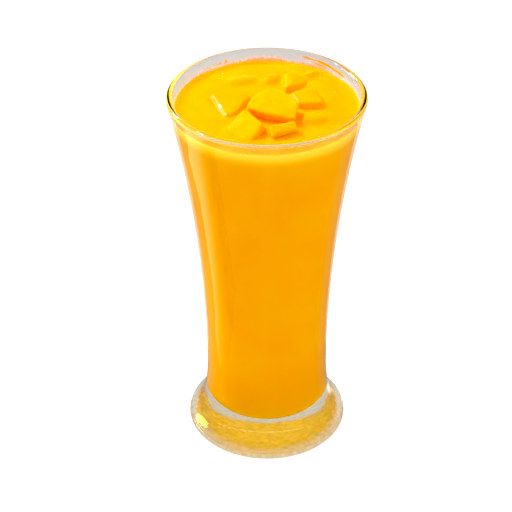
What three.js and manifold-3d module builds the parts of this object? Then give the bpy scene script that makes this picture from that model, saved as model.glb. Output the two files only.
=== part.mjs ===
// A mango smoothie in a tall footed glass, with diced mango floating in its top.
// Millimetres, +Z up. The origin is the centre of the foot's underside.
import * as THREE from 'three';
import { mergeVertices } from 'three/addons/utils/BufferGeometryUtils.js';
import Module from 'manifold-3d';

const wasm = await Module();
wasm.setup();

// The glass, as one turned profile
const GLASS_HEIGHT = 165;
const WAIST_RADIUS = 26.35;
const WAIST_HEIGHT = 32;
const FLARE = 0.00083; // outer radius gained for each square millimetre above the waist
const RIM_RADIUS = 40.9;
const RIM_BEAD = 1.35; // radius of the rounded lip
const FOOT_RADIUS = 34.9;
const FOOT_EDGE = 1.6; // radius of the foot's rounded edge
const FOOT_PULL = 7.5; // height towards which the waist runs before it turns out into the foot
const WALL_AT_RIM = 2.3;
const WALL_AT_WAIST = 2.6;
const FLOOR_HEIGHT = 10.5; // inside bottom, above a solid glass base
const FLOOR_ROUND = 8; // height over which the wall rounds into that bottom
const FLOOR_SQUARE = 2.5; // 2 rounds it as an ellipse, more makes the corner squarer
const PUNT_DEPTH = 0.4; // shallow hollow under the foot
const PUNT_RADIUS = 26;
const AROUND = 60; // facets round the axis

// The drink
const LEVEL = 159.3;
const MENISCUS_RISE = 0.9;
const MENISCUS_REACH = 3.5;
const GAP = 0.3; // clearance between touching solids
const SWELLS = [
  // [x, y, width, height] of the soft swells in the thick surface
  [-13, 20, 9, 0.5],
  [4, 27, 7, 0.35],
  [27, 8, 6, 0.4],
  [-28, -6, 7, 0.35],
  [-7, -31, 6, 0.3],
  [22, -22, 8, -0.35],
];

// The mango dice. centre is the middle of the top face, with its height above the drink's level. The face
// tips by tilt degrees towards the bearing tips, and corners are its outline, seen along the face's normal.
const DICE = {
  dice_centre: {
    centre: [2, -6.7, 5.4],
    tilt: 10.5,
    tips: -87,
    thickness: 8,
    edge: 0.9,
    under: 0.8,
    corners: [
      [-4.1, -5.4], [4.7, -8.5], [9.5, -9.3], [10.7, 1.3], [6.4, 6.2],
      [1.5, 9.9], [-5, 7.3], [-8.8, 2.8], [-10.4, -2.3],
    ],
  },
  dice_front_left: {
    centre: [-8.7, -20.6, 2.5],
    tilt: 22,
    tips: -140,
    thickness: 8,
    edge: 1.1,
    corners: [[-10.1, -0.5], [-4.6, -6.9], [2, -8.8], [7.9, -0.4], [-0.2, 11.3], [-5.5, 4.8]],
  },
  dice_front_right: {
    centre: [6.6, -22.1, 3.2],
    tilt: 21,
    tips: -71,
    thickness: 7.5,
    edge: 0.7,
    under: 0.92,
    corners: [[-5.6, 1.3], [-4.5, -5.4], [6, 0], [4.5, 4.6], [-2.1, 1.8]],
  },
  dice_left: {
    centre: [-13.8, 0.6, 1.2],
    tilt: 3,
    tips: -140,
    thickness: 9,
    edge: 1.4,
    corners: [
      [-9.6, 8.6], [-4.7, -6.5], [-2.9, -10.1], [0.8, -8.6],
      [3.9, -2.8], [7.4, 4.5], [5, 7.3], [-0.7, 8.8],
    ],
  },
  dice_back: {
    centre: [12, 18.5, 1.8],
    tilt: 22,
    tips: -2,
    thickness: 7.5,
    edge: 0.9,
    corners: [[-4, -8.4], [3.9, -3], [6, 3], [2.6, 6.6], [-4.2, 4.2]],
  },
  dice_right: {
    centre: [16.3, 3.2, 2.4],
    tilt: 2.5,
    tips: -30,
    thickness: 8.5,
    edge: 0.8,
    corners: [[-3.1, -5.6], [7.3, -4.2], [3.3, 9.2], [-6.6, 3.9]],
  },
  dice_low_right: {
    centre: [18.4, -9.6, 0.8],
    tilt: 3,
    tips: -66,
    thickness: 8,
    edge: 1.2,
    corners: [[-5, -4.6], [1.9, -5], [5, -2.9], [5.8, 1.9], [0.9, 2.4], [-4.8, 4.2]],
  },
  dice_back_left: {
    centre: [-10.4, 19.8, 0.8],
    tilt: 3,
    tips: -87,
    thickness: 7.5,
    edge: 1.7,
    corners: [[-7.8, 0.8], [-5.8, -4], [-0.6, -3.9], [5.2, -1.8], [6.6, 2.8], [4.6, 4.4], [-1.5, 3.5]],
  },
  dice_far_back: {
    centre: [1.6, 21.6, 0.8],
    tilt: 3,
    tips: -87,
    thickness: 7,
    edge: 1.6,
    corners: [[-4, -3.2], [-0.8, -4.3], [2.5, -3.1], [3.6, 3.2], [1.4, 4.7], [-2.8, 3.2]],
  },
  dice_back_right: {
    centre: [18.9, 26.3, 0.9],
    tilt: 8,
    tips: -41,
    thickness: 4.5,
    edge: 1.1,
    under: 0.85,
    corners: [[1, -2.9], [3.2, 1], [0.1, 3], [-4, -1.8]],
  },
  dice_front: {
    centre: [7.6, -29.8, 0.8],
    tilt: 2,
    tips: -90,
    thickness: 5.5,
    edge: 0.8,
    corners: [[2.9, -0.6], [1.2, 1.8], [-1.3, 1.6], [-2.6, -1.5]],
  },
};
const CORNER_REACH = 1.5; // length of outline edge that a rounded corner takes
const CROWN = 0.35; // how far a cut face swells at its middle

const glassMaterial = new THREE.MeshStandardMaterial({
  color: 0xf2f6f4,
  roughness: 0.05,
  metalness: 0,
  transparent: true,
  opacity: 0.3,
});
const smoothieMaterial = new THREE.MeshStandardMaterial({ color: 0xffb000, roughness: 0.35, metalness: 0 });
const mangoMaterial = new THREE.MeshStandardMaterial({ color: 0xffc21a, roughness: 0.3, metalness: 0 });

// Outer radius of the glass above the waist: a parabola that flares up to the rim.
function flareRadius(z) {
  return WAIST_RADIUS + FLARE * (z - WAIST_HEIGHT) ** 2;
}

// The concave sweep from the foot's edge up into the waist.
function footCurve() {
  return new THREE.QuadraticBezierCurve(
    new THREE.Vector2(FOOT_RADIUS, 2 * FOOT_EDGE),
    new THREE.Vector2(WAIST_RADIUS, FOOT_PULL),
    new THREE.Vector2(WAIST_RADIUS, WAIST_HEIGHT),
  );
}

// Thickness of the glass wall, which thins evenly from the waist to the rim.
function wall(z) {
  return THREE.MathUtils.mapLinear(z, WAIST_HEIGHT, GLASS_HEIGHT, WALL_AT_WAIST, WALL_AT_RIM);
}

// Inner radius of the glass above the rounded floor, parallel to the outside.
function innerRadius(z) {
  return flareRadius(Math.max(z, WAIST_HEIGHT)) - wall(z);
}

// Point on the rounding between the middle of the floor, at angle 0, and the wall, at a quarter turn.
function floorPoint(angle) {
  const power = 2 / FLOOR_SQUARE;
  const shoulder = FLOOR_HEIGHT + FLOOR_ROUND;
  const radius = innerRadius(shoulder) * Math.max(Math.sin(angle), 0) ** power;
  return new THREE.Vector2(radius, shoulder - FLOOR_ROUND * Math.max(Math.cos(angle), 0) ** power);
}

// Points of an arc from one angle to another, in degrees.
function arc(centreX, centreY, radius, from, to, steps) {
  const points = [];
  for (let step = 0; step <= steps; step += 1) {
    const angle = THREE.MathUtils.degToRad(from + ((to - from) * step) / steps);
    points.push(new THREE.Vector2(centreX + radius * Math.cos(angle), centreY + radius * Math.sin(angle)));
  }
  return points;
}

// The inside of the glass from the floor's middle up to a height, moved in by a clearance.
function insideProfile(top, clearance) {
  const points = [new THREE.Vector2(0, FLOOR_HEIGHT + clearance)];
  const floorSteps = 6;
  for (let step = 1; step <= floorSteps; step += 1) {
    const angle = (Math.PI / 2) * (step / floorSteps);
    const point = floorPoint(angle);
    points.push(new THREE.Vector2(point.x - clearance, point.y + clearance * Math.cos(angle)));
  }
  const shoulder = FLOOR_HEIGHT + FLOOR_ROUND;
  const wallSteps = 7;
  for (let step = 1; step <= wallSteps; step += 1) {
    const z = THREE.MathUtils.lerp(shoulder, top, step / wallSteps);
    points.push(new THREE.Vector2(innerRadius(z) - clearance, z));
  }
  return points;
}

// A turned solid. LatheGeometry turns about Y, so it is stood up to turn about Z.
function turned(profile) {
  return new THREE.LatheGeometry(profile, AROUND).rotateX(Math.PI / 2);
}

// The glass: underside with its shallow hollow, foot, waist, flare, rounded lip, and the inside back down.
function glassGeometry() {
  const lipCentre = GLASS_HEIGHT - RIM_BEAD;
  const outside = [new THREE.Vector2(0, PUNT_DEPTH), new THREE.Vector2(PUNT_RADIUS * 0.6, PUNT_DEPTH * 0.7)];
  outside.push(new THREE.Vector2(PUNT_RADIUS, 0));
  outside.push(...arc(FOOT_RADIUS - FOOT_EDGE, FOOT_EDGE, FOOT_EDGE, -90, 60, 4));
  const footSteps = 7;
  for (let step = 1; step <= footSteps; step += 1) {
    outside.push(footCurve().getPoint(step / footSteps));
  }
  const flareSteps = 8;
  for (let step = 1; step <= flareSteps; step += 1) {
    const z = THREE.MathUtils.lerp(WAIST_HEIGHT, lipCentre - 2 * RIM_BEAD, step / flareSteps);
    outside.push(new THREE.Vector2(flareRadius(z), z));
  }
  const lip = arc(RIM_RADIUS - RIM_BEAD, lipCentre, RIM_BEAD, -20, 180, 7);
  const inside = insideProfile(lipCentre - RIM_BEAD, 0).reverse();
  return turned([...outside, ...lip, ...inside]);
}

// Height of the drink's surface: level, with soft swells and a rim that climbs the glass.
function surfaceHeight(x, y) {
  let height = LEVEL;
  for (const [sx, sy, width, rise] of SWELLS) {
    height += rise * Math.exp(-((x - sx) ** 2 + (y - sy) ** 2) / width ** 2);
  }
  const fromWall = innerRadius(LEVEL) - Math.hypot(x, y);
  return height + MENISCUS_RISE * Math.exp(-fromWall / (MENISCUS_REACH / 3));
}

// The drink, before the dice are cut out of it.
function drinkGeometry() {
  const sides = insideProfile(LEVEL, GAP);
  const edge = sides[sides.length - 1].x;
  const ringShares = [0.97, 0.91, 0.79, 0.62, 0.42, 0.21, 0];
  const top = ringShares.map((share) => new THREE.Vector2(edge * share, LEVEL));
  const geometry = turned([...sides, ...top]);
  const position = geometry.getAttribute('position');
  for (let i = 0; i < position.count; i += 1) {
    const onTop = Math.abs(position.getZ(i) - LEVEL) < 1e-3;
    if (onTop) position.setZ(i, surfaceHeight(position.getX(i), position.getY(i)));
  }
  return geometry;
}

// A dice's outline, counter-clockwise, with three points round each corner.
function roundedOutline(corners) {
  return corners.flatMap((corner, i) => {
    const here = new THREE.Vector2(...corner);
    const before = new THREE.Vector2(...corners[(i + corners.length - 1) % corners.length]);
    const after = new THREE.Vector2(...corners[(i + 1) % corners.length]);
    const reach = (other) => Math.min(CORNER_REACH / here.distanceTo(other), 0.4);
    const from = here.clone().lerp(before, reach(before));
    const to = here.clone().lerp(after, reach(after));
    return new THREE.QuadraticBezierCurve(from, here, to).getPoints(2);
  });
}

// One mango dice as rings of its outline, from the middle of its underside up over its rounded edges to the
// middle of its top face, which lies at z = 0. The underside is smaller than the top by the share under, and
// grow makes the same dice larger all over.
function diceGeometry({ corners, thickness, edge, under = 1 }, grow = 0) {
  const outline = roundedOutline(corners);
  const around = outline.length;
  const outward = outline.map((point, i) => {
    const along = outline[(i + 1) % around].clone().sub(point).normalize();
    along.add(point.clone().sub(outline[(i + around - 1) % around]).normalize());
    return new THREE.Vector2(along.y, -along.x).normalize();
  });
  const edgeRings = [0, 45, 90].map((angle) => {
    const turn = THREE.MathUtils.degToRad(angle);
    return { inset: edge * (1 - Math.sin(turn)), drop: edge * (1 - Math.cos(turn)) };
  });
  const lowest = -thickness;
  const rings = [
    ...edgeRings.map(({ inset, drop }) => ({ share: under, inset, height: lowest + drop - grow })),
    ...edgeRings.map(({ inset, drop }) => ({ share: 1, inset, height: grow - drop })).reverse(),
    { share: 0.55, inset: edge, height: CROWN * 0.7 + grow },
  ];
  const positions = [0, 0, lowest - grow];
  for (const { share, inset, height } of rings) {
    outline.forEach((point, i) => {
      const moved = point.clone().addScaledVector(outward[i], grow - inset).multiplyScalar(share);
      positions.push(moved.x, moved.y, height);
    });
  }
  positions.push(0, 0, CROWN + grow);
  const geometry = new THREE.BufferGeometry();
  geometry.setAttribute('position', new THREE.Float32BufferAttribute(positions, 3));
  geometry.setIndex(ringFaces(rings.length, around));
  return geometry;
}

// Triangles over a stack of rings between a lower and an upper pole.
function ringFaces(rings, around) {
  const index = [];
  const at = (ring, i) => 1 + ring * around + (i % around);
  const last = 1 + rings * around;
  for (let i = 0; i < around; i += 1) {
    index.push(0, at(0, i + 1), at(0, i));
    for (let ring = 0; ring + 1 < rings; ring += 1) {
      index.push(at(ring, i), at(ring, i + 1), at(ring + 1, i));
      index.push(at(ring, i + 1), at(ring + 1, i + 1), at(ring + 1, i));
    }
    index.push(at(rings - 1, i), at(rings - 1, i + 1), last);
  }
  return index;
}

// Sets a mesh where a dice lies: its top face at its place over the drink, tipped towards its bearing.
function placeDice(mesh, { centre, tilt, tips }) {
  const bearing = THREE.MathUtils.degToRad(tips);
  const axis = new THREE.Vector3(-Math.sin(bearing), Math.cos(bearing), 0);
  mesh.position.set(centre[0], centre[1], LEVEL + centre[2]);
  mesh.quaternion.setFromAxisAngle(axis, THREE.MathUtils.degToRad(tilt));
  mesh.updateMatrixWorld();
  return mesh;
}

function toSolid(geometry) {
  const bare = geometry.clone().deleteAttribute('normal').deleteAttribute('uv');
  const merged = mergeVertices(bare, 1e-4);
  return new wasm.Manifold(
    new wasm.Mesh({
      numProp: 3,
      vertProperties: new Float32Array(merged.getAttribute('position').array),
      triVerts: new Uint32Array(merged.index.array),
    }),
  );
}

function toGeometry(solid) {
  const mesh = solid.getMesh();
  const geometry = new THREE.BufferGeometry();
  geometry.setAttribute('position', new THREE.BufferAttribute(mesh.vertProperties, 3));
  geometry.setIndex(new THREE.BufferAttribute(mesh.triVerts, 1));
  geometry.computeVertexNormals();
  return geometry;
}

function glass() {
  const mesh = new THREE.Mesh(glassGeometry(), glassMaterial);
  mesh.name = 'glass';
  return mesh;
}

function dice() {
  return Object.entries(DICE).map(([name, piece]) => {
    const mesh = new THREE.Mesh(diceGeometry(piece), mangoMaterial);
    mesh.name = name;
    return placeDice(mesh, piece);
  });
}

// The drink, with a pocket for each dice that sits in it.
function smoothie() {
  let solid = toSolid(drinkGeometry());
  for (const piece of Object.values(DICE)) {
    const pocket = placeDice(new THREE.Mesh(diceGeometry(piece, GAP)), piece);
    solid = solid.subtract(toSolid(pocket.geometry.clone().applyMatrix4(pocket.matrixWorld)));
  }
  const mesh = new THREE.Mesh(toGeometry(solid), smoothieMaterial);
  mesh.name = 'smoothie';
  return mesh;
}

const drinkInGlass = new THREE.Group();
drinkInGlass.add(glass(), smoothie(), ...dice());

export default drinkInGlass;
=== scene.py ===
"""Mango smoothie in a tall footed glass: the looks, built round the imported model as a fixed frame.

The glass is turned again from the same sizes with finer facets, the drink gets its wet, uneven surface, and each
mango dice is recut from its own solid. Lengths are metres.
"""

import logging
import math
from dataclasses import dataclass, field
from enum import Enum
from functools import partial
from itertools import chain
from typing import Callable, Iterable, Sequence

import bpy
import numpy as np
from bpy.types import Material, Node, NodeSocket, NodeTree, Object
from mathutils import Matrix, Vector, noise
from mathutils.bvhtree import BVHTree


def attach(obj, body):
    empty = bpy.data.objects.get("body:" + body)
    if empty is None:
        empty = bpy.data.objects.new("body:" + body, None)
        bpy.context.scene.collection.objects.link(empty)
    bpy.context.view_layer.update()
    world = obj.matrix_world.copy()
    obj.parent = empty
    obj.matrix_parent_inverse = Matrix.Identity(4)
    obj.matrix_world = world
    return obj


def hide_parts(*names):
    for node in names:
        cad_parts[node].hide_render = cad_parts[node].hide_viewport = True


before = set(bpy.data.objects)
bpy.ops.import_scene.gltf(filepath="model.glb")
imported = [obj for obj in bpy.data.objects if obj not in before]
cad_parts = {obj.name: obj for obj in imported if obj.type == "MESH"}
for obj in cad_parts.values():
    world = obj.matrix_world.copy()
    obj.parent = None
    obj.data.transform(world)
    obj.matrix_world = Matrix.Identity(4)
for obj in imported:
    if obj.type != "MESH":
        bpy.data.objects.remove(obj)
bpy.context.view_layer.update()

logging.basicConfig(level=logging.INFO, format="%(levelname)s %(name)s: %(message)s")
LOG = logging.getLogger("smoothie")

MM = 0.001
SEED = 11
BODY = "root"
LEVEL = 159.3 * MM
GLASS_IOR = 1.5
PUREE_IOR = 1.36
WHITE = "#FFFFFF"
SCATTER = {"Subsurface Radius": (1.0, 0.5, 0.05), "Subsurface Scale": 2.5 * MM}
SMOOTHLY = {"interpolation_type": "SMOOTHSTEP"}

Point = tuple[float, float, float]
Profile = list[tuple[float, float]]
Surface = Callable[[float, float], float]
Adder = Callable[..., Node]


class Coat(Enum):
    """How much of the drink lies over a mango dice."""

    BARE = "bare"
    DRAPED = "draped"
    SUNK = "sunk"


NODES = {
    Coat.BARE: ("dice_centre", "dice_front_left", "dice_front_right"),
    Coat.DRAPED: ("dice_left", "dice_back", "dice_right"),
    Coat.SUNK: ("dice_low_right", "dice_back_left", "dice_far_back", "dice_back_right", "dice_front"),
}


class Slot(Enum):
    """The record's material slots."""

    GLASS = "clear_glass"
    DRINK = "mango_smoothie"
    FLESH = "mango_flesh"


def linear(colour: str) -> tuple[float, float, float, float]:
    """Turns an sRGB hex colour into linear red, green, blue and full alpha.

    Args:
        colour: Six hex digits with a leading #.

    Returns:
        The colour as Blender's sockets take it.
    """
    parts = [int(colour[i : i + 2], 16) / 255 for i in (1, 3, 5)]
    red, green, blue = (c / 12.92 if c <= 0.04045 else ((c + 0.055) / 1.055) ** 2.4 for c in parts)
    return red, green, blue, 1.0


def add_node(tree: NodeTree, kind: str, values: dict | None = None, **settings: object) -> Node:
    """Adds a node with its settings, socket values and incoming links.

    Args:
        tree: The node tree that gets the node.
        kind: The node's type name, without "ShaderNode" in front.
        values: Socket name or number to a value or sRGB hex colour, to the output socket that feeds it, or to the
            node whose first output in use feeds it.
        **settings: Properties of the node itself.

    Returns:
        The new node.
    """
    node = tree.nodes.new(kind if kind.startswith(("Geometry", "NodeGroup")) else "ShaderNode" + kind)
    for name, value in settings.items():
        setattr(node, name, value)
    for key, value in (values or {}).items():
        socket = node.inputs[key]
        if isinstance(value, Node):
            value = next(output for output in value.outputs if output.enabled)
        if isinstance(value, str) and value.startswith("#"):
            value = linear(value)
        if isinstance(value, NodeSocket):
            tree.links.new(value, socket)
        else:
            socket.default_value = value
    return node


def new_material(name: str) -> tuple[Material, Adder]:
    """Makes an empty node material.

    Args:
        name: The real material's name.

    Returns:
        The material and add_node for its tree.
    """
    material = bpy.data.materials.new(name)
    material.use_nodes = True
    material.node_tree.nodes.clear()
    return material, partial(add_node, material.node_tree)


def ramp(add: Adder, factor: Node, stops: Sequence[tuple[float, str]]) -> Node:
    """Adds a colour ramp.

    Args:
        add: add_node for the tree.
        factor: The node that drives the ramp.
        stops: Place and sRGB hex colour of each stop, in order.

    Returns:
        The ramp.
    """
    node = add("ValToRGB", {"Fac": factor})
    for element, (place, colour) in zip(node.color_ramp.elements, stops):
        element.position = place
        element.color = linear(colour)
    return node


def axis_distance(add: Adder, place: NodeSocket) -> Node:
    """Adds the two nodes that measure how far a place lies from the glass's axis.

    Args:
        add: add_node for the tree.
        place: The place's coordinates.

    Returns:
        The node that gives the distance.
    """
    flat = add("VectorMath", {0: place, 1: (1.0, 1.0, 0.0)}, operation="MULTIPLY")
    return add("VectorMath", {0: flat}, operation="LENGTH")


def new_piece(name: str, vertices: np.ndarray, faces: Iterable[Sequence[int]]) -> Object:
    """Makes a smooth mesh object at the origin and links it to the scene.

    Args:
        name: The piece's name.
        vertices: One row of x, y, z for each vertex.
        faces: Vertex numbers of each face, facing outwards.

    Returns:
        The object.
    """
    mesh = bpy.data.meshes.new(name)
    mesh.from_pydata([tuple(v) for v in np.asarray(vertices, float)], [], [tuple(f) for f in faces])
    mesh.polygons.foreach_set("use_smooth", [True] * len(mesh.polygons))
    mesh.update()
    piece = bpy.data.objects.new(name, mesh)
    bpy.context.scene.collection.objects.link(piece)
    return piece


def circle_of(count: int) -> tuple[np.ndarray, np.ndarray]:
    """Evenly spaced bearings round the axis.

    Args:
        count: How many.

    Returns:
        The bearings in radians and the unit circle's points at them.
    """
    angles = np.linspace(0, 2 * np.pi, count, endpoint=False)
    return angles, np.stack([np.cos(angles), np.sin(angles)], axis=1)


def ring(circle: np.ndarray, radius: float | np.ndarray, height: float | np.ndarray) -> np.ndarray:
    """A ring of vertices.

    Args:
        circle: Points of the unit circle.
        radius: The ring's radius, or one for each point.
        height: Its height, or one for each point.

    Returns:
        The vertices.
    """
    return np.column_stack([circle * np.reshape(radius, (-1, 1)), np.broadcast_to(height, len(circle))])


def ring_faces(rings: int, around: int, first: int = 0) -> list[tuple[int, ...]]:
    """Quads between rings of vertices, each ring numbered anticlockwise and each above or outside the one before.

    Args:
        rings: Number of rings.
        around: Vertices in each ring.
        first: Number of the first ring's first vertex.

    Returns:
        The faces.
    """
    faces = []
    for start in range(first, first + (rings - 1) * around, around):
        for i in range(around):
            a, b = start + i, start + (i + 1) % around
            faces.append((a, b, b + around, a + around))
    return faces


def closed_faces(rings: int, around: int) -> list[tuple[int, ...]]:
    """Faces of a closed round solid whose vertices are a lower pole, the rings and an upper pole, in that order.

    Args:
        rings: Number of rings.
        around: Vertices in each ring.

    Returns:
        The faces: those between the rings, then those round the lower and those round the upper pole.
    """
    last = 1 + rings * around
    faces = ring_faces(rings, around, first=1)
    faces += [(0, 1 + (i + 1) % around, 1 + i) for i in range(around)]
    faces += [(last, last - around + i, last - around + (i + 1) % around) for i in range(around)]
    return faces


def turned(name: str, profile: Profile, around: int) -> Object:
    """Turns a profile that starts and ends on the axis into one closed smooth solid.

    Args:
        name: The piece's name.
        profile: Radius and height of each point, anticlockwise as seen with the axis on the left.
        around: Facets round the axis.

    Returns:
        The object.
    """
    circle = circle_of(around)[1]
    rows = [ring(circle, radius, height) for radius, height in profile[1:-1]]
    poles = [np.array([[0, 0, height]]) for height in (profile[0][1], profile[-1][1])]
    return new_piece(name, np.concatenate([poles[0], *rows, poles[1]]), closed_faces(len(rows), around))


def hand_over(piece: Object, slot: Slot, replaces: Sequence[str] = ()) -> None:
    """Lets a finished piece ride on the body and logs it.

    Args:
        piece: The piece.
        slot: The record's material slot that the piece stands for; not used.
        replaces: CAD nodes that it stands for.
    """
    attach(piece, BODY)
    if replaces:
        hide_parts(*replaces)
    size = [round(side / MM, 1) for side in piece.dimensions]
    LOG.info("%s: %d faces, %s mm", piece.name, len(piece.data.polygons), size)


def plain_mesh(source: Object, name: str) -> Object:
    """Turns an object with live modifiers into a plain mesh object and removes the source.

    Args:
        source: The object with modifiers.
        name: Name of the result.

    Returns:
        The new object at the origin.
    """
    graph = bpy.context.evaluated_depsgraph_get()
    graph.update()
    mesh = bpy.data.meshes.new_from_object(source.evaluated_get(graph))
    mesh.transform(source.matrix_world)
    mesh.name = name
    old = source.data
    bpy.data.objects.remove(source)
    bpy.data.meshes.remove(old)
    piece = bpy.data.objects.new(name, mesh)
    bpy.context.scene.collection.objects.link(piece)
    return piece


@dataclass(frozen=True)
class ClearGlass:
    """Soda-lime glass, machine blown and fire polished: clear, faintly grey, with slow waves in its surface."""

    tint: str = "#F3F2F0"
    shadow_tint: str = "#F4F2EE"
    wave_length: float = 14 * MM
    wave_depth: float = 0.01 * MM

    def make(self) -> Material:
        """Builds the material, which lets shadow rays through so that the drink is lit."""
        material, add = new_material("Soda-lime glass, fire polished")
        place = add("TexCoord").outputs["Object"]
        waves = add("TexNoise", {"Vector": place, "Scale": 1 / self.wave_length, "Detail": 1.0, "Roughness": 0.4})
        bump = add("Bump", {"Height": waves, "Distance": self.wave_depth})
        body = add("BsdfPrincipled", {
            "Base Color": self.tint, "Roughness": 0.0, "IOR": GLASS_IOR, "Transmission Weight": 1.0,
            "Normal": bump,
        })
        clear = add("BsdfTransparent", {"Color": self.shadow_tint})
        shadow = add("LightPath").outputs["Is Shadow Ray"]
        mix = add("MixShader", {"Fac": shadow, 1: body, 2: clear})
        add("OutputMaterial", {"Surface": mix})
        return material


@dataclass(frozen=True)
class StippledGlass:
    """The underside of the foot: the same glass, rippled by the mould and scuffed, with its scuffed haze tinted by a
    painted reflection of the drink, paler round its edge.
    """

    tint: str = "#FFFEFA"
    # Painted reflection: the haze colours are the drink's yellow mirrored in the base, paler at the edge.
    scuff: str = "#FFDC78"
    edge_scuff: str = "#FFEED0"
    ripple: float = 3.0 * MM
    ripple_depth: float = 0.07 * MM
    stipple: float = 0.7 * MM
    stipple_depth: float = 0.012 * MM
    edge_from: float = 25 * MM
    edge_to: float = 33 * MM
    least_scuffed: float = 0.2
    most_scuffed: float = 0.44
    more_at_edge: float = 0.45

    def make(self) -> Material:
        """Builds the material."""
        material, add = new_material("Soda-lime glass, stippled underside")
        place = add("TexCoord").outputs["Object"]
        ripples = add("TexNoise", {"Vector": place, "Scale": 1 / self.ripple, "Detail": 1.0, "Distortion": 0.8})
        pits = add("TexNoise", {"Vector": place, "Scale": 1 / self.stipple})
        broad = add("Bump", {"Height": ripples, "Distance": self.ripple_depth})
        bump = add("Bump", {"Height": pits, "Distance": self.stipple_depth, "Normal": broad})
        body = add("BsdfPrincipled", {
            "Base Color": self.tint, "Roughness": 0.08, "IOR": GLASS_IOR, "Transmission Weight": 1.0,
            "Normal": bump,
        })
        far = axis_distance(add, place)
        edge = add("MapRange", {"Value": far, "From Min": self.edge_from, "From Max": self.edge_to}, **SMOOTHLY)
        # Painted reflection: the yellow of the scuffed haze stands in for the drink mirrored in the base, paler towards
        # the edge.
        tone = add("Mix", {"Factor": edge, 6: self.scuff, 7: self.edge_scuff}, data_type="RGBA")
        patches = add("MapRange", {
            "Value": ripples, "From Min": 0.35, "From Max": 0.7,
            "To Min": self.least_scuffed, "To Max": self.most_scuffed,
        })
        # Real scuffing and painted reflection together: more haze, and so more painted yellow, towards the edge.
        scuffs = add("Math", {0: edge, 1: self.more_at_edge, 2: patches}, operation="MULTIPLY_ADD")
        haze = add("BsdfTranslucent", {"Color": tone})
        mix = add("MixShader", {"Fac": scuffs, 1: body, 2: haze})
        add("OutputMaterial", {"Surface": mix})
        return material


@dataclass(frozen=True)
class PureeFilm:
    """Thin smear of puree left on the inner wall: orange where thick, fading to a pale veil."""

    thick: str = "#FFB000"
    thin: str = "#FFF0D8"
    grain_size: float = 0.8 * MM

    def make(self) -> Material:
        """Builds the material, whose cover comes from the piece's own attribute "cover"."""
        material, add = new_material("Mango puree, thin film on glass")
        cover = add("Attribute", attribute_name="cover").outputs["Fac"]
        place = add("TexCoord").outputs["Object"]
        grain = add("TexNoise", {"Vector": place, "Scale": 1 / self.grain_size})
        uneven = add("MapRange", {"Value": grain, "From Min": 0.35, "From Max": 0.6, "To Min": 0.75, "To Max": 1.1})
        amount = add("Math", {0: cover, 1: uneven}, operation="MULTIPLY", use_clamp=True)
        depth = add("MapRange", {"Value": amount, "From Min": 0.15, "From Max": 0.5})
        colour = add("Mix", {"Factor": depth, 6: self.thin, 7: self.thick}, data_type="RGBA")
        body = add("BsdfPrincipled", {
            "Base Color": colour, "Roughness": 0.5, "IOR": PUREE_IOR, "Specular IOR Level": 0.1,
            "Coat Weight": 0.1, "Coat Roughness": 0.06, "Alpha": amount,
        })
        add("OutputMaterial", {"Surface": body})
        return material


@dataclass(frozen=True)
class MangoPuree:
    """Blended mango puree: opaque, saturated, lit from within by subsurface scattering, with fine pulp, a soft wet
    sheen and painted light that glows near the glass wall.
    """

    deep: str = "#FFA000"
    light: str = "#FFAA00"
    pulp: str = "#FFB800"
    pulp_size: float = 0.7 * MM
    pulp_depth: float = 0.02 * MM
    cloud_size: float = 18 * MM
    # Painted light: colour and strength of an emitted glow that brightens the puree near the glass wall.
    margin_glow: str = "#FFDC20"
    margin_strength: float = 0.12
    margin_from: float = 35.6 * MM
    margin_to: float = 37.3 * MM
    wet_ripple: float = 1.8 * MM
    wet_depth: float = 0.4 * MM

    def make(self) -> Material:
        """Builds the material."""
        material, add = new_material("Mango puree, blended")
        place = add("TexCoord").outputs["Object"]
        clouds = add("TexNoise", {"Vector": place, "Scale": 1 / self.cloud_size})
        grain = add("TexNoise", {"Vector": place, "Scale": 1 / self.pulp_size})
        base = ramp(add, clouds, [(0.35, self.deep), (0.65, self.light)])
        flecks = ramp(add, grain, [(0.6, "#000000"), (0.75, "#606060")])
        colour = add("Mix", {"Factor": flecks, 6: base, 7: self.pulp}, data_type="RGBA")
        bump = add("Bump", {"Height": grain, "Distance": self.pulp_depth, "Strength": 0.4})
        ripples = add("TexNoise", {"Vector": place, "Scale": 1 / self.wet_ripple, "Detail": 1.0, "Distortion": 0.5})
        wet = add("Bump", {"Height": ripples, "Distance": self.wet_depth})
        # Painted light: the glow rises towards the glass wall.
        margin = add("MapRange", {
            "Value": axis_distance(add, place),
            "From Min": self.margin_from, "From Max": self.margin_to, "To Max": self.margin_strength,
        }, **SMOOTHLY)
        body = add("BsdfPrincipled", SCATTER | {
            "Base Color": colour, "Roughness": 0.3, "IOR": PUREE_IOR, "Specular IOR Level": 0.04,
            "Emission Color": self.margin_glow, "Emission Strength": margin, "Subsurface Weight": 0.7,
            "Coat Weight": 0.35, "Coat Roughness": 0.05, "Coat Normal": wet, "Normal": bump,
        })
        add("OutputMaterial", {"Surface": body})
        return material


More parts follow.
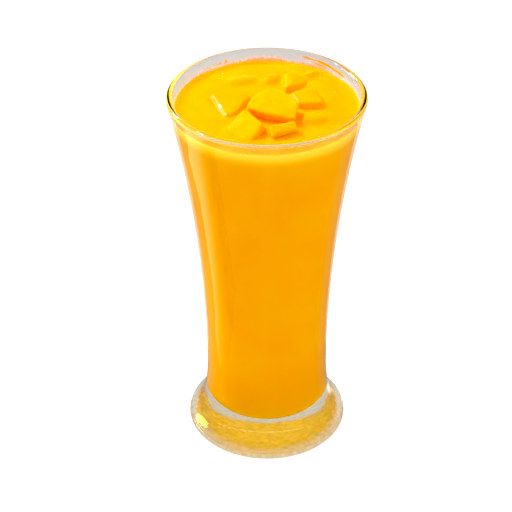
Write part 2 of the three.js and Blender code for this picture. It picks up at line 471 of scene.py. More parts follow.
@dataclass(frozen=True)
class PureeAgainstGlass:
    """The same puree where it wets the glass: it has no sheen of its own there; painted light makes it paler and
    glowing near the surface and glowing at the very bottom, and painted shade darkens it lower down.
    """

    deep: str = "#FFC600"
    # Painted shade: the drink's colour lower down, darker towards the bottom.
    light: str = "#FFCD00"
    low: str = "#FABB00"
    low_to: float = 16 * MM
    high_from: float = 45 * MM
    # Painted light: the glow colour, the paler colour near the surface and the strengths of the glow near the top and
    # at the bottom.
    inner_glow: str = "#FFD228"
    edge: str = "#FFE860"
    edge_depth: float = 7 * MM
    edge_strength: float = 0.24
    under_strength: float = 0.3
    under_to: float = 15 * MM
    cloud_size: float = 22 * MM
    pulp_size: float = 0.9 * MM

    def make(self) -> Material:
        """Builds the material."""
        material, add = new_material("Mango puree, against the glass")
        place = add("TexCoord").outputs["Object"]
        clouds = add("TexNoise", {"Vector": place, "Scale": 1 / self.cloud_size})
        grain = add("TexNoise", {"Vector": place, "Scale": 1 / self.pulp_size, "Detail": 1.0})
        both = add("Math", {0: grain, 1: 0.3, 2: clouds}, operation="MULTIPLY_ADD")
        base = ramp(add, both, [(0.5, self.deep), (0.8, self.light)])
        # Painted shade: the colour darkens from the base colour towards the bottom.
        height = add("SeparateXYZ", {"Vector": place}).outputs["Z"]
        rise = add("MapRange", {"Value": height, "From Min": self.low_to, "From Max": self.high_from}, **SMOOTHLY)
        inner = add("Mix", {"Factor": rise, 6: self.low, 7: base}, data_type="RGBA")
        # Painted light: near its surface the drink turns paler and glows.
        near_top = add(
            "MapRange", {"Value": height, "From Min": LEVEL - self.edge_depth, "From Max": LEVEL}, **SMOOTHLY
        )
        colour = add("Mix", {"Factor": near_top, 6: inner, 7: self.edge}, data_type="RGBA")
        # Painted light: a glow at the very bottom of the drink.
        under = add("MapRange", {
            "Value": height, "From Min": 10 * MM, "From Max": self.under_to,
            "To Min": self.under_strength, "To Max": 0.0,
        }, **SMOOTHLY)
        glow = add("Math", {0: near_top, 1: self.edge_strength, 2: under}, operation="MULTIPLY_ADD")
        body = add("BsdfPrincipled", SCATTER | {
            "Base Color": colour, "Roughness": 0.6, "IOR": PUREE_IOR, "Specular IOR Level": 0.0,
            "Emission Color": self.inner_glow, "Emission Strength": glow, "Subsurface Weight": 0.5,
        })
        add("OutputMaterial", {"Surface": body})
        return material


@dataclass(frozen=True)
class MangoFlesh:
    """Ripe mango flesh, knife cut and wet: translucent, with faint fibres along the slice and a glossy juice film."""

    deep: str = "#FFA000"
    light: str = "#FFB000"
    fibre_spacing: float = 0.9 * MM
    fibre_depth: float = 0.03 * MM
    blush_size: float = 9 * MM

    def make(self) -> Material:
        """Builds the material."""
        material, add = new_material("Mango flesh, cut and wet")
        place = add("TexCoord").outputs["Object"]
        along = add("Mapping", {"Vector": place, "Rotation": (0.1, 0.2, 0.6), "Scale": (0.22, 1.0, 1.0)})
        fibres = add("TexNoise", {"Vector": along, "Scale": 1 / self.fibre_spacing, "Detail": 2.5, "Distortion": 0.6})
        blush = add("TexNoise", {"Vector": place, "Scale": 1 / self.blush_size})
        both = add("Math", {0: fibres, 1: 0.35, 2: blush}, operation="MULTIPLY_ADD")
        colour = ramp(add, both, [(0.45, self.deep), (0.85, self.light)])
        bump = add("Bump", {"Height": fibres, "Distance": self.fibre_depth, "Strength": 0.5})
        body = add("BsdfPrincipled", SCATTER | {
            "Base Color": colour, "Roughness": 0.4, "IOR": 1.38, "Specular IOR Level": 0.03,
            "Subsurface Weight": 0.8, "Coat Weight": 0.25, "Coat Roughness": 0.05, "Normal": bump,
        })
        add("OutputMaterial", {"Surface": body})
        return material


@dataclass(frozen=True)
class PaleTable:
    """Matt light table: white to the eye, with a greyer tone for what the glass gathers from it."""

    colour: str = "#6C6B6A"
    glow: float = 0.45
    glow_to_eye: float = 0.95

    def make(self) -> Material:
        """Builds the material."""
        material, add = new_material("Light table, matt white")
        eye = add("LightPath").outputs["Is Camera Ray"]
        glow = add("MapRange", {"Value": eye, "To Min": self.glow, "To Max": self.glow_to_eye})
        body = add("BsdfPrincipled", {
            "Base Color": self.colour, "Roughness": 0.7, "Specular IOR Level": 0.2,
            "Emission Color": WHITE, "Emission Strength": glow,
        })
        add("OutputMaterial", {"Surface": body})
        return material


@dataclass(frozen=True)
class GlowingCard:
    """Paper card lit by a lamp of its own: brightest along one edge, fading to nothing towards the other.

    Attributes:
        strength: How brightly it glows at most.
        bright_at: The y where it is brightest.
        dark_at: The y where it is dark.
        colour: Its sRGB hex colour.
    """

    strength: float
    bright_at: float
    dark_at: float
    colour: str = WHITE

    def make(self) -> Material:
        """Builds the material."""
        material, add = new_material("Paper card, lit")
        place = add("TexCoord").outputs["Object"]
        along = add("SeparateXYZ", {"Vector": place}).outputs["Y"]
        fade = add("MapRange", {
            "Value": along, "From Min": self.dark_at, "From Max": self.bright_at, "To Max": self.strength,
        }, **SMOOTHLY)
        glow = add("Emission", {"Color": self.colour, "Strength": fade})
        add("OutputMaterial", {"Surface": glow})
        return material


@dataclass
class FootedGlass:
    """The glass: rounded lip, flared wall, waist, solid base and round foot, turned from one profile."""

    height: float = 165 * MM
    waist_radius: float = 26.35 * MM
    waist_height: float = 32 * MM
    flare: float = 0.83
    rim_radius: float = 40.9 * MM
    rim_bead: float = 1.35 * MM
    foot_radius: float = 34.9 * MM
    foot_edge: float = 1.6 * MM
    foot_pull: float = 7.5 * MM
    wall_at_rim: float = 2.3 * MM
    wall_at_waist: float = 2.6 * MM
    floor_height: float = 10.5 * MM
    floor_round: float = 8 * MM
    floor_square: float = 2.5
    punt_depth: float = 0.4 * MM
    punt_radius: float = 26 * MM
    around: int = 256
    underside_steps: int = 12
    finish: ClearGlass = field(default_factory=ClearGlass)
    underside_finish: StippledGlass = field(default_factory=StippledGlass)

    def flare_radius(self, z: float) -> float:
        """Outer radius above the waist."""
        return self.waist_radius + self.flare * (z - self.waist_height) ** 2

    def wall(self, z: float) -> float:
        """Wall thickness, which thins evenly from the waist to the rim."""
        share = (z - self.waist_height) / (self.height - self.waist_height)
        return self.wall_at_waist + share * (self.wall_at_rim - self.wall_at_waist)

    def inner_radius(self, z: float) -> float:
        """Inner radius above the rounded floor, parallel to the outside."""
        return self.flare_radius(max(z, self.waist_height)) - self.wall(z)

    def floor_point(self, angle: float) -> tuple[float, float]:
        """Radius and height on the rounding from the middle of the floor, at 0, to the wall, at a quarter turn."""
        power = 2 / self.floor_square
        shoulder = self.floor_height + self.floor_round
        radius = self.inner_radius(shoulder) * max(math.sin(angle), 0) ** power
        return radius, shoulder - self.floor_round * max(math.cos(angle), 0) ** power

    def bore_radius(self, z: float) -> float:
        """Radius of the glass's inside at any height up to the top of its rounded lip."""
        lip = self.height - self.rim_bead
        start = lip - self.rim_bead
        if z <= start:
            return self.inner_radius(z)
        middle = self.rim_radius - self.rim_bead
        if z >= lip:
            return middle - math.sqrt(max(self.rim_bead**2 - (z - lip) ** 2, 0))
        share = (z - start) / self.rim_bead
        return self.inner_radius(start) * (1 - share) + (middle - self.rim_bead) * share

    def foot_point(self, t: float) -> tuple[float, float]:
        """Radius and height on the concave sweep from the foot's edge, at 0, to the waist, at 1."""
        a, b, c = (1 - t) ** 2, 2 * t * (1 - t), t * t
        radius = a * self.foot_radius + (b + c) * self.waist_radius
        return radius, a * 2 * self.foot_edge + b * self.foot_pull + c * self.waist_height

    def inside(self, top: float, clearance: float, steps: int) -> Profile:
        """The inside's profile from the middle of the floor up to a height.

        Args:
            top: Height of the last point.
            clearance: How far the profile stands off the glass, less than nothing to reach into it.
            steps: Points along the wall.

        Returns:
            Radius and height of each point.
        """
        points = [(0.0, self.floor_height + clearance)]
        for angle in np.linspace(0, math.pi / 2, 29)[1:]:
            radius, z = self.floor_point(angle)
            points.append((radius - clearance, z + clearance * math.cos(angle)))
        heights = np.linspace(self.floor_height + self.floor_round, top, steps + 1)[1:]
        return points + [(self.inner_radius(z) - clearance, z) for z in heights]

    def outline(self) -> Profile:
        """The whole profile, from the middle of the underside round to the middle of the floor."""

        def arc(radius: float, height: float, size: float, start: float, end: float, steps: int) -> Profile:
            angles = np.radians(np.linspace(start, end, steps + 1))
            return [(radius + size * math.cos(a), height + size * math.sin(a)) for a in angles]

        shares = np.linspace(0, 1, self.underside_steps + 1)
        points = [(self.punt_radius * share, self.punt_depth * (1 - share**3)) for share in shares]
        points += arc(self.foot_radius - self.foot_edge, self.foot_edge, self.foot_edge, -90, 58, 12)
        points += [self.foot_point(t) for t in np.linspace(0, 1, 31)[1:]]
        lip = self.height - self.rim_bead
        heights = np.linspace(self.waist_height, lip - 2 * self.rim_bead, 49)[1:]
        points += [(self.flare_radius(z), z) for z in heights]
        points += arc(self.rim_radius - self.rim_bead, lip, self.rim_bead, -24, 184, 18)
        return points + self.inside(lip - self.rim_bead, 0.0, 48)[::-1]

    def build(self) -> None:
        """Turns the glass, dresses it and hands it over."""
        piece = turned("footed_glass", self.outline(), self.around)
        piece.data.materials.append(self.finish.make())
        piece.data.materials.append(self.underside_finish.make())
        under = self.underside_steps * self.around
        stippled = [int(number < under) for number in range(len(piece.data.polygons))]
        pole = len(stippled) - 2 * self.around
        stippled[pole : pole + self.around] = [1] * self.around
        piece.data.polygons.foreach_set("material_index", stippled)
        hand_over(piece, Slot.GLASS, ["glass"])


@dataclass
class MangoDice:
    """The mango dice, each recut from its own solid with softened, slightly uneven faces."""

    voxel: float = 0.4 * MM
    knife_wave: float = 0.12 * MM
    finish: MangoFlesh = field(default_factory=MangoFlesh)
    pieces: dict[str, Object] = field(default_factory=dict)

    def recut(self, node: str) -> Object:
        """Remeshes a dice's solid evenly and gives its cut faces slow waves.

        Args:
            node: The CAD node.

        Returns:
            The new piece.
        """
        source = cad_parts[node]
        copy = bpy.data.objects.new(node + "_copy", source.data.copy())
        bpy.context.scene.collection.objects.link(copy)
        weld = copy.modifiers.new("Weld", "WELD")
        weld.merge_threshold = 0.001 * MM
        remesh = copy.modifiers.new("Remesh", "REMESH")
        remesh.mode = "VOXEL"
        remesh.voxel_size = self.voxel
        smooth = copy.modifiers.new("Smooth", "SMOOTH")
        smooth.factor = 0.5
        smooth.iterations = 4
        piece = plain_mesh(copy, node + "_flesh")
        mesh = piece.data
        for vertex in mesh.vertices:
            place = vertex.co / (6 * MM) + Vector((SEED, 0, 0))
            wave = noise.noise(place) + 0.35 * noise.noise(place * 3.1)
            vertex.co += vertex.normal * wave * self.knife_wave
        mesh.polygons.foreach_set("use_smooth", [True] * len(mesh.polygons))
        mesh.update()
        return piece

    def build(self) -> None:
        """Recuts, dresses and hands over every dice."""
        flesh = self.finish.make()
        for node in chain(*NODES.values()):
            piece = self.recut(node)
            piece.data.materials.clear()
            piece.data.materials.append(flesh)
            hand_over(piece, Slot.FLESH, [node])
            self.pieces[node] = piece

    def tree(self, coat: Coat) -> BVHTree:
        """A search tree over all the dice with one coat.

        Args:
            coat: Which dice.

        Returns:
            The tree.
        """
        vertices: list[Vector] = []
        faces: list[tuple[int, ...]] = []
        for node in NODES[coat]:
            mesh, first = self.pieces[node].data, len(vertices)
            vertices += [v.co.copy() for v in mesh.vertices]
            faces += [tuple(first + i for i in p.vertices) for p in mesh.polygons]
        return BVHTree.FromPolygons(vertices, faces)


@dataclass
class Drink:
    """The smoothie: it reaches just into the glass, swells where thick, climbs what it wets and drapes some dice.

    Attributes:
        swells: X, y, width and rise of each swell of the top, in millimetres.
        ripple: Width and rise of the surface's slow unevenness.
        fine_ripple: The same for its fine unevenness, which also runs over the draped dice.
    """

    glass: FootedGlass
    dice: MangoDice
    level: float = LEVEL
    into_glass: float = 0.06 * MM
    meniscus_rise: float = 0.5 * MM
    meniscus_wander: float = 0.3 * MM
    meniscus_reach: float = 1.15 * MM
    drape: float = 0.25 * MM
    drape_blur: float = 0.6 * MM
    sunk_drape: float = 0.55 * MM
    sunk_blur: float = 1.3 * MM
    blend: float = 0.3 * MM
    climb_most: float = 0.7 * MM
    climb_reach: float = 0.9 * MM
    cell: float = 0.3 * MM
    around: int = 320
    rings: int = 84
    finish: MangoPuree = field(default_factory=MangoPuree)
    side_finish: PureeAgainstGlass = field(default_factory=PureeAgainstGlass)
    height: Surface | None = None
    ripple: tuple[float, float] = (6 * MM, 0.14 * MM)
    fine_ripple: tuple[float, float] = (1.9 * MM, 0.07 * MM)
    swells: Sequence[tuple[float, ...]] = (
        (-13, 20, 9, 0.5),
        (4, 27, 7, 0.35),
        (27, 8, 6, 0.4),
        (-28, -6, 7, 0.35),
        (-7, -31, 6, 0.3),
        (22, -22, 8, -0.35),
        (9.5, 5, 4, 1.5),
        (-12, 9, 6, 0.6),
    )

    def draped_height(self, coat: Coat, blur: float, lift: float) -> Surface:
        """Samples how high the drink stands over the dice that it drapes.

        Args:
            coat: Which dice.
            blur: How far the drink rounds off what lies under it.
            lift: Thickness of the drink over the dice.

        Returns:
            A function from x and y to the height over the level.
        """
        tree = self.dice.tree(coat)
        reach, far_below = 40 * MM, -2.0 * MM
        count = int(2 * reach / self.cell) + 1
        axis = np.linspace(-reach, reach, count)
        heights = np.full((count, count), far_below)
        start, down = 200 * MM, Vector((0, 0, -1))
        for i, y in enumerate(axis):
            for j, x in enumerate(axis):
                hit = tree.ray_cast(Vector((x, y, start)), down)[0]
                if hit is not None:
                    heights[i, j] = hit.z - self.level + lift
        spread = heights.copy()
        for i in range(-2, 3):
            for j in range(-2, 3):
                if i * i + j * j <= 5:
                    np.maximum(spread, np.roll(heights, (i, j), axis=(0, 1)), out=spread)
        width = blur / self.cell
        half = int(3 * width) + 1
        kernel = np.exp(-0.5 * (np.arange(-half, half + 1) / width) ** 2)
        kernel /= kernel.sum()
        for number in (0, 1):
            spread = np.apply_along_axis(lambda row: np.convolve(row, kernel, mode="same"), number, spread)

        def at(x: float, y: float) -> float:
            u, v = ((place + reach) / (2 * reach) * (count - 1) for place in (x, y))
            j, i = (int(min(max(place, 0), count - 2)) for place in (u, v))
            fx, fy = u - j, v - i
            low = spread[i, j] * (1 - fx) + spread[i, j + 1] * fx
            high = spread[i + 1, j] * (1 - fx) + spread[i + 1, j + 1] * fx
            return float(low * (1 - fy) + high * fy)

        return at

    def contact_height(self, angle: float) -> float:
        """Height at which the drink meets the glass, which wanders a little round the rim."""
        wander = noise.noise(Vector((2.2 * math.cos(angle), 2.2 * math.sin(angle), SEED)))
        return self.level + self.meniscus_rise + self.meniscus_wander * wander

    def surface(self) -> Surface:
        """Makes the function for the height of the drink's top.

        Returns:
            A function from x and y to z.
        """
        draped = self.draped_height(Coat.DRAPED, self.drape_blur, self.drape)
        sunk = self.draped_height(Coat.SUNK, self.sunk_blur, self.sunk_drape)
        bare = self.dice.tree(Coat.BARE)
        wall = self.glass.inner_radius(self.level + self.meniscus_rise)

        def height(x: float, y: float) -> float:
            z = 0.0
            for sx, sy, width, rise in self.swells:
                far = (x / MM - sx) ** 2 + (y / MM - sy) ** 2
                z += rise * MM * math.exp(-far / width**2)
            width, rise = self.ripple
            z += rise * noise.noise(Vector((x / width, y / width, SEED)))
            for over, blend in ((sunk(x, y), 2 * self.blend), (draped(x, y), self.blend)):
                top, low = max(z, over), min(z, over)
                z = top + blend * math.log1p(math.exp((low - top) / blend))
            width, rise = self.fine_ripple
            z += rise * noise.noise(Vector((x / width, y / width, SEED)))
            near = bare.find_nearest(Vector((x, y, self.level + 0.3 * MM)))[3]
            if near < 4 * MM:
                top = bare.find_nearest(Vector((x, y, self.level + 6 * MM)))[0].z - self.level
                z += min(max(0.4 * top, 0.0), self.climb_most) * math.exp(-near / self.climb_reach)
            climb = self.contact_height(math.atan2(y, x)) - self.level
            z += climb * math.exp(-max(wall - math.hypot(x, y), 0.0) / self.meniscus_reach)
            return self.level + z

        return height

    def build(self) -> None:
        """Builds the drink's sides and top as one closed mesh, dresses it and hands it over."""
        height = self.height = self.surface()
        angles, circle = circle_of(self.around)
        sides = self.glass.inside(self.level - 1.0 * MM, -self.into_glass, 60)
        rows = [np.array([[0, 0, sides[0][1]]])]
        rows += [ring(circle, radius, z) for radius, z in sides[1:]]
        contact = np.array([self.contact_height(a) for a in angles])
        edge = np.array([self.glass.inner_radius(z) for z in contact])
        rows.append(ring(circle, edge + self.into_glass, contact))
        for share in (0.997, 0.991, *np.linspace(0.982, 0.012, self.rings)):
            radii = edge * share
            rows.append(ring(circle, radii, [height(x, y) for x, y in circle * radii[:, None]]))
        rows.append(np.array([[0, 0, height(0.0, 0.0)]]))
        faces = closed_faces(len(rows) - 2, self.around)
        piece = new_piece("smoothie_drink", np.concatenate(rows), faces)
        piece.data.materials.append(self.side_finish.make())
        piece.data.materials.append(self.finish.make())
        side_faces = (len(sides) - 1) * self.around
        open_surface = [int(side_faces <= number < len(faces) - 2 * self.around) for number in range(len(faces))]
        open_surface[-self.around :] = [1] * self.around
        piece.data.polygons.foreach_set("material_index", open_surface)
        hand_over(piece, Slot.DRINK, ["smoothie"])


@dataclass(frozen=True)
class BubbleSkin:
    """Skin of a froth bubble: pale, thin and shiny, with the drink's yellow showing through."""

    deep: str = "#FFD75A"
    light: str = "#FFE68C"
    swirl_size: float = 0.5 * MM
    swirl_depth: float = 0.01 * MM

    def make(self) -> Material:
        """Builds the material."""
        material, add = new_material("Froth bubble skin")
        place = add("TexCoord").outputs["Object"]
        swirl = add("TexNoise", {"Vector": place, "Scale": 1 / self.swirl_size, "Detail": 1.0})
        colour = ramp(add, swirl, [(0.35, self.deep), (0.65, self.light)])
        bump = add("Bump", {"Height": swirl, "Distance": self.swirl_depth})
        body = add("BsdfPrincipled", {
            "Base Color": colour, "Roughness": 0.2, "IOR": PUREE_IOR, "Coat Weight": 0.6, "Coat Roughness": 0.03,
            "Normal": bump,
        })
        add("OutputMaterial", {"Surface": body})
        return material


@dataclass
class Froth:
    """Tiny bubbles: a few on the surface, some against the glass, most of those low down."""

    glass: FootedGlass
    drink: Drink
    on_top: int = 26
    on_side: int = 44
    side_reach: float = 130 * MM
    smallest: float = 0.12 * MM
    largest: float = 0.34 * MM
    finish: BubbleSkin = field(default_factory=BubbleSkin)

    def places(self) -> tuple[np.ndarray, np.ndarray]:
        """Chooses where the bubbles sit and how large they are.

        Returns:
            Their centres and radii.
        """
        dice = np.random.default_rng(SEED)
        height = self.drink.height
        centres, radii = [], []
        for _ in range(self.on_top):
            angle, share = dice.uniform(0, math.tau), 1 - dice.uniform(0, 1) ** 2 * 0.5
            reach = (self.glass.inner_radius(self.drink.level) - 0.7 * MM) * share
            x, y = reach * math.cos(angle), reach * math.sin(angle)
            radius = dice.uniform(self.smallest, self.largest)
            centres.append((x, y, height(x, y) + 0.1 * radius))
            radii.append(radius)
        for _ in range(self.on_side):
            angle = dice.uniform(0, math.tau)
            low = self.glass.floor_height + self.glass.floor_round
            z = low + self.side_reach * dice.uniform(0, 1) ** 1.8
            radius = dice.uniform(self.smallest, self.largest)
            reach = self.glass.inner_radius(z) - 0.35 * radius
            centres.append((reach * math.cos(angle), reach * math.sin(angle), z))
            radii.append(radius)
        return np.array(centres), np.array(radii)

    def scatter(self) -> NodeTree:
        """Makes the node group that sets a round bubble on every point at its own size."""
        tree = bpy.data.node_groups.new("Froth on points", "GeometryNodeTree")
        for name, way, kind in (
            ("Points", "INPUT", "NodeSocketGeometry"),
            ("Skin", "INPUT", "NodeSocketMaterial"),
            ("Bubbles", "OUTPUT", "NodeSocketGeometry"),
        ):
            tree.interface.new_socket(name, in_out=way, socket_type=kind)
        add = partial(add_node, tree)
        given = add("NodeGroupInput").outputs
        ball = add("GeometryNodeMeshIcoSphere", {"Radius": 1.0, "Subdivisions": 2})
        size = add("GeometryNodeInputNamedAttribute", {"Name": "size"}, data_type="FLOAT")
        balls = add("GeometryNodeInstanceOnPoints", {"Points": given["Points"], "Instance": ball, "Scale": size})
        solid = add("GeometryNodeRealizeInstances", {"Geometry": balls})
        smooth = add("GeometryNodeSetShadeSmooth", {"Geometry": solid})
        dressed = add("GeometryNodeSetMaterial", {"Geometry": smooth, "Material": given["Skin"]})
        add("NodeGroupOutput", {"Bubbles": dressed})
        return tree

    def build(self) -> None:
        """Scatters the bubbles, makes them one plain mesh and hands it over."""
        centres, radii = self.places()
        points = new_piece("froth_points", centres, [])
        size = points.data.attributes.new("size", "FLOAT", "POINT")
        size.data.foreach_set("value", radii)
        modifier = points.modifiers.new("Froth", "NODES")
        modifier.node_group = self.scatter()
        names = {item.name: item.identifier for item in modifier.node_group.interface.items_tree}
        modifier[names["Skin"]] = self.finish.make()
        piece = plain_mesh(points, "froth_bubbles")
        hand_over(piece, Slot.DRINK)


@dataclass
class Film:
    """The smear that the drink leaves on the inner wall above its edge, with a few streaks and drips.

    Attributes:
        streaks: Bearing in degrees, height over the drink's edge in millimetres, width in degrees, depth in
            millimetres, lean in millimetres for each degree, and greatest cover of each streak.
    """

    glass: FootedGlass
    drink: Drink
    reach: float = 4.2 * MM
    thickness: float = 0.12 * MM
    below_edge: float = 0.4 * MM
    into_glass: float = 0.03 * MM
    around: int = 720
    rings: int = 30
    finish: PureeFilm = field(default_factory=PureeFilm)
    streaks: Sequence[tuple[float, ...]] = (
        (62, 3.2, 5.0, 0.35, -0.03, 0.95),
        (50, 2.9, 7.0, 0.5, -0.05, 1.0),
        (40, 2.2, 6.0, 0.5, -0.05, 0.95),
        (54, 1.7, 5.0, 0.3, -0.04, 0.9),
        (117, 1.9, 1.0, 0.7, 0.0, 0.6),
        (121, 1.6, 1.0, 0.6, 0.0, 0.55),
        (124, 1.5, 1.6, 0.4, 0.0, 0.5),
        (131, 1.3, 3.0, 0.4, 0.0, 0.4),
    )

    def cover(self, degrees: float, above: float) -> float:
        """How much puree covers the wall: most at the back, thinning upwards, with the streaks on top.

        Args:
            degrees: Bearing from the axis.
            above: Height over the drink's edge, in millimetres.

        Returns:
            Cover from 0 to 1.
        """
        angle = math.radians(degrees)
        way = Vector((math.cos(angle), math.sin(angle), 0))
        slow = noise.noise(way * 2.5 + Vector((SEED, 0, 0)))
        fast = noise.noise(way * 28 + Vector((0, 0, above * 0.35 + SEED)))
        top = 2.7 + 0.9 * slow + 0.6 * fast
        fade = min(max((top - above) / 2.6, 0.0), 1.0)
        amount = max(0.2 + 0.35 * math.sin(angle), 0.0) * fade**2
        for bearing, height, width, depth, lean, most in self.streaks:
            away = (degrees - bearing + 180) % 360 - 180
            middle = height - lean * away
            spot = math.exp(-((away / width) ** 2) - ((above - middle) / depth) ** 2)
            amount = max(amount, most * min(2.3 * spot * (0.85 + 0.5 * fast), 1.0))
        return min(amount, 1.0)

    def build(self) -> None:
        """Builds the film as a thin closed band, dresses it and hands it over."""
        angles, circle = circle_of(self.around)
        foot = np.array([self.drink.contact_height(a) for a in angles]) - self.below_edge
        tip = np.minimum(foot + self.reach, self.glass.height - 0.75 * self.glass.rim_bead)
        rows, covers = [], []
        shares = np.linspace(0, 1, self.rings)
        for side, share in [(0, s) for s in shares] + [(1, s) for s in shares[::-1]]:
            heights = foot + (tip - foot) * share
            wall = np.array([self.glass.bore_radius(z) for z in heights])
            radii = wall + self.into_glass if side == 0 else wall - self.thickness * (1 - 0.75 * share)
            rows.append(ring(circle, radii, heights))
            above = (heights - foot - self.below_edge) / MM
            covers += [self.cover(d, a) for d, a in zip(np.degrees(angles), above)]
        faces = ring_faces(len(rows), self.around)
        last = (len(rows) - 1) * self.around
        faces += [(last + i, last + (i + 1) % self.around, (i + 1) % self.around, i) for i in range(self.around)]
        piece = new_piece("puree_film", np.concatenate(rows), faces)
        attribute = piece.data.attributes.new("cover", "FLOAT", "POINT")
        attribute.data.foreach_set("value", covers)
        piece.data.materials.append(self.finish.make())
        hand_over(piece, Slot.DRINK)


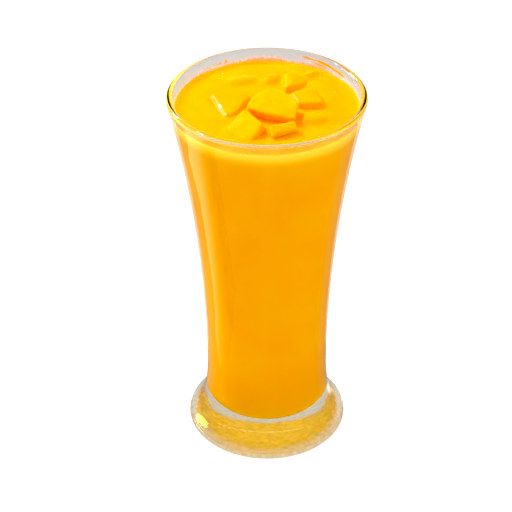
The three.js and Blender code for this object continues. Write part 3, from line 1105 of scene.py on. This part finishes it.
@dataclass
class Studio:
    """Pale table, even sky, soft lamps that show in no reflection, and crisp lamps and cards that do."""

    sky_strength: float = 0.9
    sky_in_reflections: float = 0.3
    sky_through_glass: float = 0.4
    aim_height: float = 140 * MM
    table: PaleTable = field(default_factory=PaleTable)

    def build(self) -> None:
        """Builds the table, sky, lamps and cards."""
        reach = 6.0
        corners = np.array([[-reach, -reach, 0], [reach, -reach, 0], [reach, reach, 0], [-reach, reach, 0]])
        floor = new_piece("table_top", corners, [(0, 1, 2, 3)])
        floor.location.z = -0.15 * MM
        floor.data.materials.append(self.table.make())
        floor.visible_glossy = False
        self.add_sky()
        for name, place, width, height, power in (
            ("back_left_softbox", (-0.52, 0.42, 0.78), 0.35, 0.35, 9.8),
            ("left_fill", (-1.05, -0.45, 0.3), 0.9, 0.6, 3.4),
            ("right_fill", (1.05, -0.45, 0.3), 0.9, 0.6, 4.7),
            ("front_fill", (0.0, -1.1, 0.3), 0.9, 0.6, 0.7),
        ):
            soft = self.add_lamp(name, place, width, height, power)
            soft.visible_glossy = soft.visible_transmission = False
        for name, place, width, height, power, colour in (
            ("overhead_left_strip", (-0.57, 0.17, 0.82), 0.03, 0.3, 7.1, WHITE),
            ("upper_edge_strip", (-0.57, 0.57, 0.64), 0.035, 0.24, 10.4, WHITE),
            ("left_panel", (-0.95, 0.36, 0.3), 0.5, 0.46, 6.2, "#FFF078"),
        ):
            crisp = self.add_lamp(name, place, width, height, power)
            crisp.data.shape = "ELLIPSE"
            crisp.data.color = linear(colour)[:3]
            crisp.visible_diffuse = crisp.visible_transmission = False
        self.add_cards()

    def add_sky(self) -> None:
        """Sets an even world light of its own strength for the eye, for reflections and through glass."""
        world = bpy.data.worlds.new("Even studio light")
        bpy.context.scene.world = world
        world.use_nodes = True
        world.node_tree.nodes.clear()
        add = partial(add_node, world.node_tree)
        rays = add("LightPath").outputs
        strength = add("MapRange", {
            "Value": rays["Is Glossy Ray"], "To Min": self.sky_strength, "To Max": self.sky_in_reflections,
        })
        terms = {0: rays["Is Transmission Ray"], 1: self.sky_through_glass, 2: strength}
        through = add("Math", terms, operation="MULTIPLY_ADD")
        sky = add("Background", {"Color": WHITE, "Strength": through})
        add("OutputWorld", {"Surface": sky})

    def add_cards(self) -> None:
        """Lays the glowing cards that the glass mirrors, and the one under it that lights its base."""

        def arc(radius: float, bearings: Iterable[float]) -> Profile:
            return [(radius * math.cos(math.radians(b)), radius * math.sin(math.radians(b))) for b in bearings]

        for name, finish, corners in (
            (
                "left_card",
                GlowingCard(1.8, 40 * MM, -45 * MM, "#FFF6BC"),
                [(-60, -12), (-78, 13), (-108, 25), (-129, 44), (-147, 57)]
                + [(-162, 92), (-200, 60), (-190, -60), (-90, -65)],
            ),
            (
                "right_card",
                GlowingCard(0.55, 0.0, -200 * MM, "#FFE680"),
                [(78, 2), (109, 16), (134, 13), (156, 30), (156, 38), (134, 21), (109, 24), (79, 8)],
            ),
            (
                "back_card",
                GlowingCard(0.8, 0.0, -1.0),
                [(-50, 45), (50, 45), (900, 1150), (900, 1300), (-900, 1300), (-900, 1150)],
            ),
            ("front_card", GlowingCard(3.5, 0.0, 1.0), arc(330, range(190, 321, 10)) + arc(1500, range(320, 189, -10))),
        ):
            self.add_card(name, finish, corners)
        under = self.add_card("under_card", GlowingCard(0.8, -40 * MM, -80 * MM), arc(33, np.arange(0, 360, 7.5)))
        under.location.z = -1.1 * MM
        under.visible_transmission = under.visible_diffuse = True

    def add_card(self, name: str, finish: GlowingCard, corners: Profile) -> Object:
        """Lays a glowing card on the table that shows in reflections only.

        Args:
            name: The card's name.
            finish: How it glows.
            corners: Its outline on the table, in millimetres.

        Returns:
            The card.
        """
        card = new_piece(name, np.array([(x * MM, y * MM, 1 * MM) for x, y in corners]), [range(len(corners))])
        card.data.materials.append(finish.make())
        card.visible_camera = card.visible_diffuse = card.visible_transmission = card.visible_shadow = False
        return card

    def add_lamp(self, name: str, place: Point, width: float, height: float, power: float) -> Object:
        """Adds a rectangular lamp that faces the top of the glass.

        Args:
            name: The lamp's name.
            place: Where it hangs.
            width: Its width.
            height: Its height.
            power: Its power in watts.

        Returns:
            The lamp.
        """
        data = bpy.data.lights.new(name, "AREA")
        data.shape = "RECTANGLE"
        data.size, data.size_y, data.energy = width, height, power
        lamp = bpy.data.objects.new(name, data)
        bpy.context.scene.collection.objects.link(lamp)
        lamp.location = place
        aim = Vector((0, 0, self.aim_height)) - Vector(place)
        lamp.rotation_euler = aim.to_track_quat("-Z", "Y").to_euler()
        lamp.visible_camera = False
        return lamp


@dataclass
class Viewpoint:
    """The camera, as the photograph's outlines place it."""

    aside: float = 0.1 * MM
    distance: float = 636.1 * MM
    height: float = 525.8 * MM
    pitch: float = 34.70
    yaw: float = 0.43
    roll: float = -0.24
    focal_pixels: float = 1800.0
    image_pixels: float = 512.0
    sensor: float = 36.0

    def build(self) -> None:
        """Adds the camera and makes it the scene's own."""
        data = bpy.data.cameras.new("camera")
        data.sensor_width = self.sensor
        data.lens = self.sensor * self.focal_pixels / self.image_pixels
        data.clip_start, data.clip_end = 0.01, 30.0
        camera = bpy.data.objects.new("camera", data)
        bpy.context.scene.collection.objects.link(camera)
        turn = Matrix.Identity(4)
        for degrees, axis in ((self.yaw, "Z"), (90 - self.pitch, "X"), (self.roll, "Z")):
            turn @= Matrix.Rotation(math.radians(degrees), 4, axis)
        camera.matrix_world = Matrix.Translation((self.aside, -self.distance, self.height)) @ turn
        bpy.context.scene.camera = camera


def main() -> None:
    """Builds the view, the studio and every piece in order."""
    view, cycles = bpy.context.scene.view_settings, bpy.context.scene.cycles
    view.view_transform = "Standard"
    view.use_curve_mapping = True
    view.curve_mapping.black_level = (0.035, 0.035, 0.035)
    view.curve_mapping.update()
    cycles.max_bounces = 24
    cycles.diffuse_bounces = cycles.glossy_bounces = 12
    cycles.transmission_bounces = 16
    cycles.blur_glossy = 0.0
    Viewpoint().build()
    Studio().build()
    glass = FootedGlass()
    glass.build()
    dice = MangoDice()
    dice.build()
    drink = Drink(glass, dice)
    drink.build()
    Film(glass, drink).build()
    Froth(glass, drink).build()


if __name__ == "__main__":
    main()
